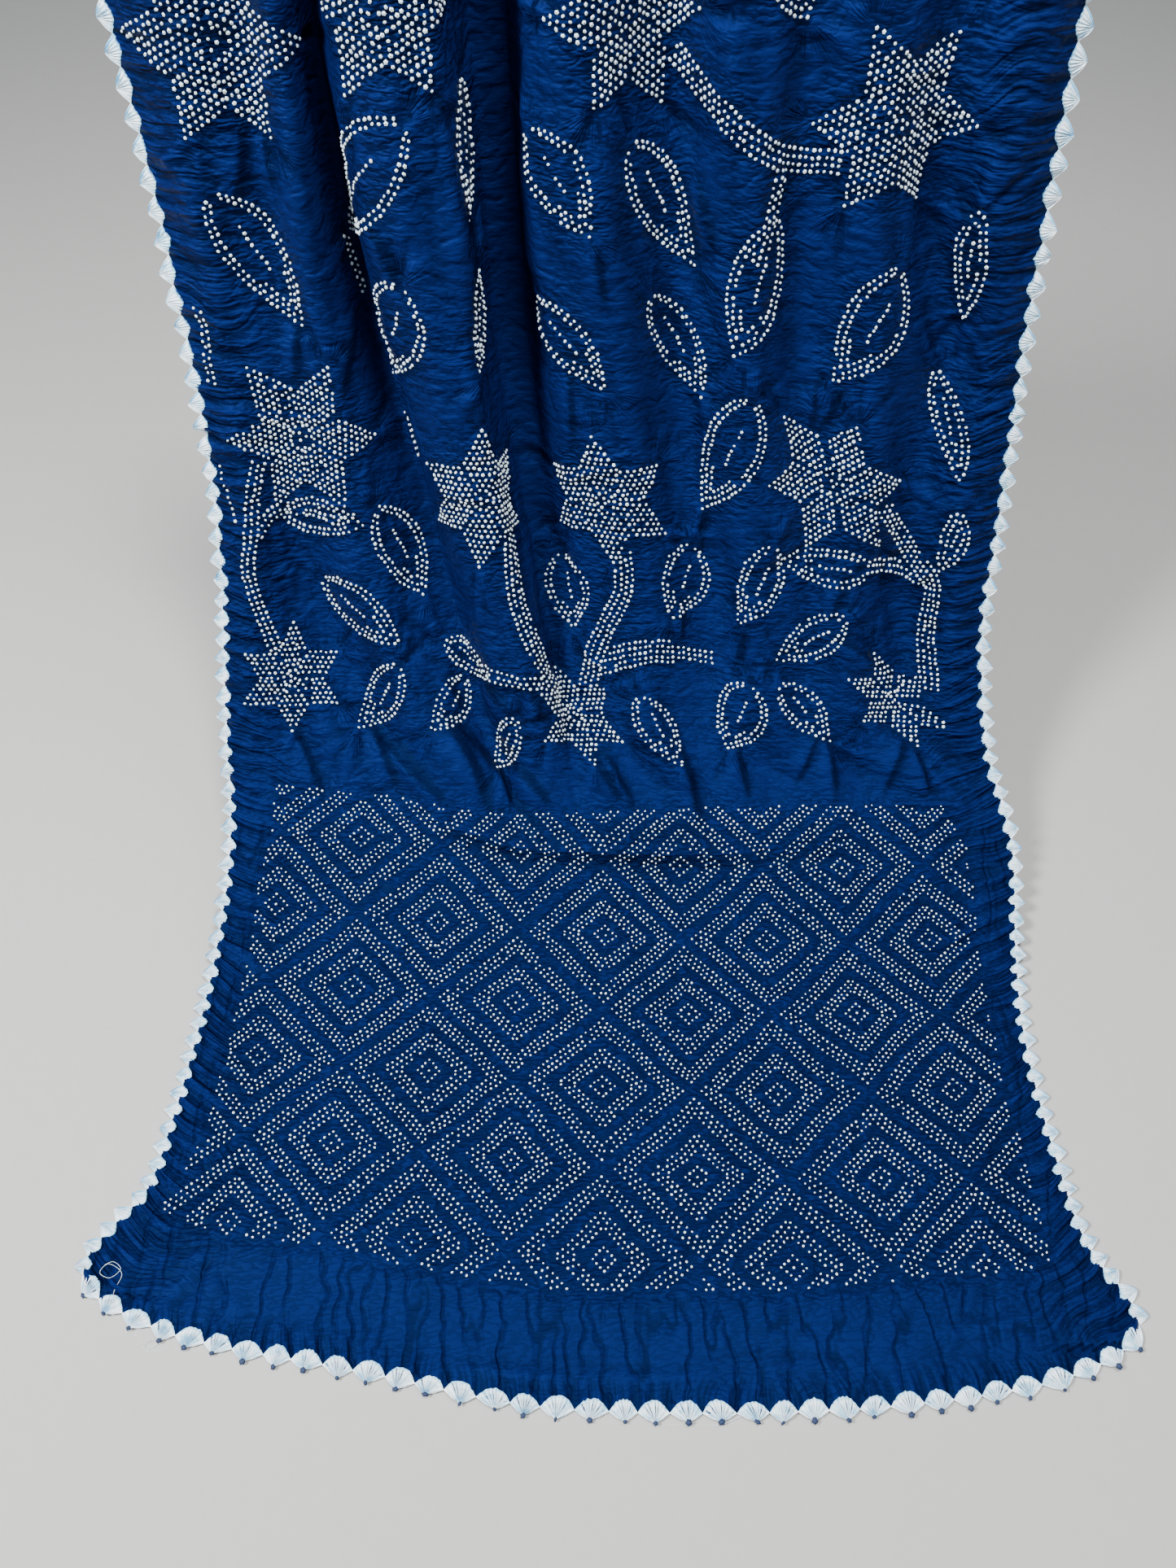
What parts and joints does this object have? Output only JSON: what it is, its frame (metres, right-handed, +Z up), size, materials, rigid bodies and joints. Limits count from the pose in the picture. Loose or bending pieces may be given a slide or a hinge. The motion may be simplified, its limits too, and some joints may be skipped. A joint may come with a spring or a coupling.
{
  "type": "bandhani cloth",
  "caption": "Dark blue tied and dyed silk cloth with a scalloped edge, hanging in upright folds and turning forward to lie flat on the floor.",
  "frame": {"origin": "bottom centre of the cloth's bounding box, at floor level", "axes": "+Z up, the lying end panel towards -Y, the hanging part at +Y, +X to the viewer's right"},
  "size_m": [1.039, 1.0238, 0.9583],
  "materials": {
    "dyed_silk": "puckered silk, dyed dark blue with undyed white dots and scallops, soft sheen"
  },
  "bodies": {
    "root": {"cloth": "dyed_silk"}
  },
  "joints": []
}
